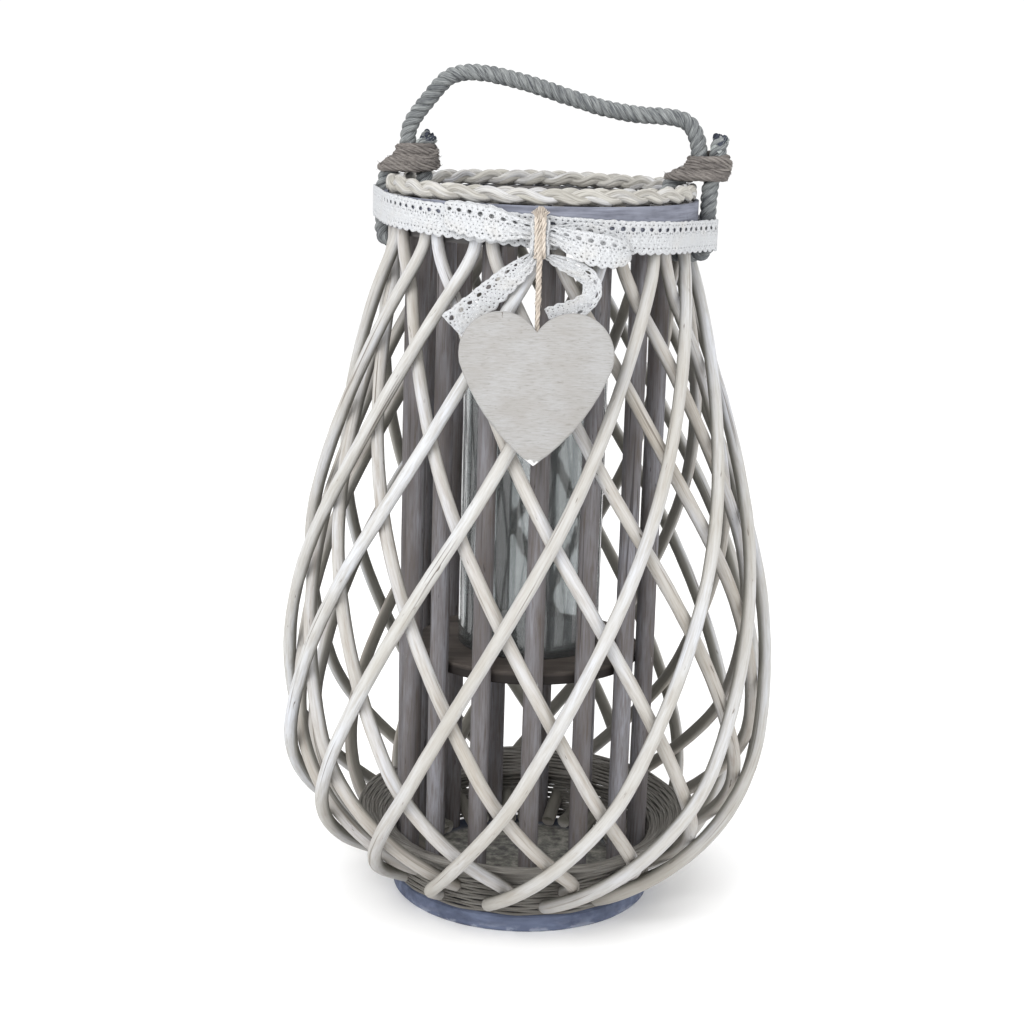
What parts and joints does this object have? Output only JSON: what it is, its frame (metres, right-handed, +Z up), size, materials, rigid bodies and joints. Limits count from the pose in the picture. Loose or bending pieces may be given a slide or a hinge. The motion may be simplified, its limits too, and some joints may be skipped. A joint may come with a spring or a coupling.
{
  "type": "hurricane candle lantern",
  "caption": "Pear-shaped crossed-willow candle lantern with an inner cage of posts, a shelf with a glass cylinder, a rope handle, a lace bow and a hanging wooden heart.",
  "frame": {"origin": "on the floor under the middle of the base plate", "axes": "+Z up, the heart at the front faces -Y, +X to the right seen from the front"},
  "size_m": [0.3417, 0.3414, 0.5701],
  "materials": {
    "willow_outer": "white-washed willow, matt",
    "willow_inner": "white-washed willow, matt",
    "lace": "white cotton lace",
    "jute": "rough jute twine",
    "binding_cord": "rough brown-grey cord",
    "rope": "grey three-strand rope",
    "steel": "plain wire",
    "plate_wood": "grey-washed wood",
    "post_wood": "grey-brown stained stick",
    "weave": "olive-grey woven strands",
    "shelf_wood": "brown-grey plywood",
    "glass": "clear",
    "slate_veneer": "slate-grey stained veneer",
    "inner_veneer": "grey stained veneer",
    "plait": "plaited willow strands",
    "heart_wood": "white-washed wood"
  },
  "bodies": {
    "frame": {"base_nails": "steel", "base_plate": "plate_wood", "cage_posts": "post_wood", "candle_shelf": "shelf_wood", "hoop_band": "slate_veneer", "hoop_nails": "steel", "inner_hoop": "inner_veneer", "inner_rod_01": "willow_inner", "inner_rod_02": "willow_inner", "inner_rod_03": "willow_inner", "inner_rod_04": "willow_inner", "inner_rod_05": "willow_inner", "inner_rod_06": "willow_inner", "inner_rod_07": "willow_inner", "inner_rod_08": "willow_inner", "inner_rod_09": "willow_inner", "inner_rod_10": "willow_inner", "inner_rod_11": "willow_inner", "inner_rod_12": "willow_inner", "inner_rod_13": "willow_inner", "inner_rod_14": "willow_inner", "inner_rod_15": "willow_inner", "lace_band": "lace", "lace_bow_left": "lace", "lace_bow_right": "lace", "lace_knot": "lace", "lace_tail_left": "lace", "lace_tail_right": "lace", "outer_rod_01": "willow_outer", "outer_rod_02": "willow_outer", "outer_rod_03": "willow_outer", "outer_rod_04": "willow_outer", "outer_rod_05": "willow_outer", "outer_rod_06": "willow_outer", "outer_rod_07": "willow_outer", "outer_rod_08": "willow_outer", "outer_rod_09": "willow_outer", "outer_rod_10": "willow_outer", "outer_rod_11": "willow_outer", "outer_rod_12": "willow_outer", "outer_rod_13": "willow_outer", "outer_rod_14": "willow_outer", "outer_rod_15": "willow_outer", "plaited_rim": "plait", "rope_eye_left": "rope", "rope_eye_right": "rope", "seizing_left": "binding_cord", "seizing_right": "binding_cord", "shelf_nails": "steel", "tray_weave": "weave", "twine_tie": "jute"},
    "handle": {"handle_rope": "rope"},
    "glass": {"glass_cylinder": "glass"},
    "twine": {"twine_drop": "jute"},
    "heart": {"heart_pendant": "heart_wood", "heart_staple": "steel"}
  },
  "joints": [
    {"name": "handle_swing", "type": "hinge", "parent": "frame", "child": "handle", "pos_m": [-0.09098, 0.02404, 0.5217], "axis": [0.989, -0.1481, 0], "range_deg": [-65, 65]},
    {"name": "glass_lift", "type": "slide", "parent": "frame", "child": "glass", "axis": [0, 0, 1], "range_m": [0, 0.15]},
    {"name": "pendant_swing", "type": "hinge", "parent": "frame", "child": "twine", "pos_m": [0, -0.11695, 0.45595], "axis": [-1, 0, 0], "range_deg": [0, 60]},
    {"name": "heart_sway", "type": "hinge", "parent": "twine", "child": "heart", "pos_m": [0, -0.12129, 0.40275], "axis": [0, -0.9772, 0.2121], "range_deg": [-20, 20]}
  ]
}
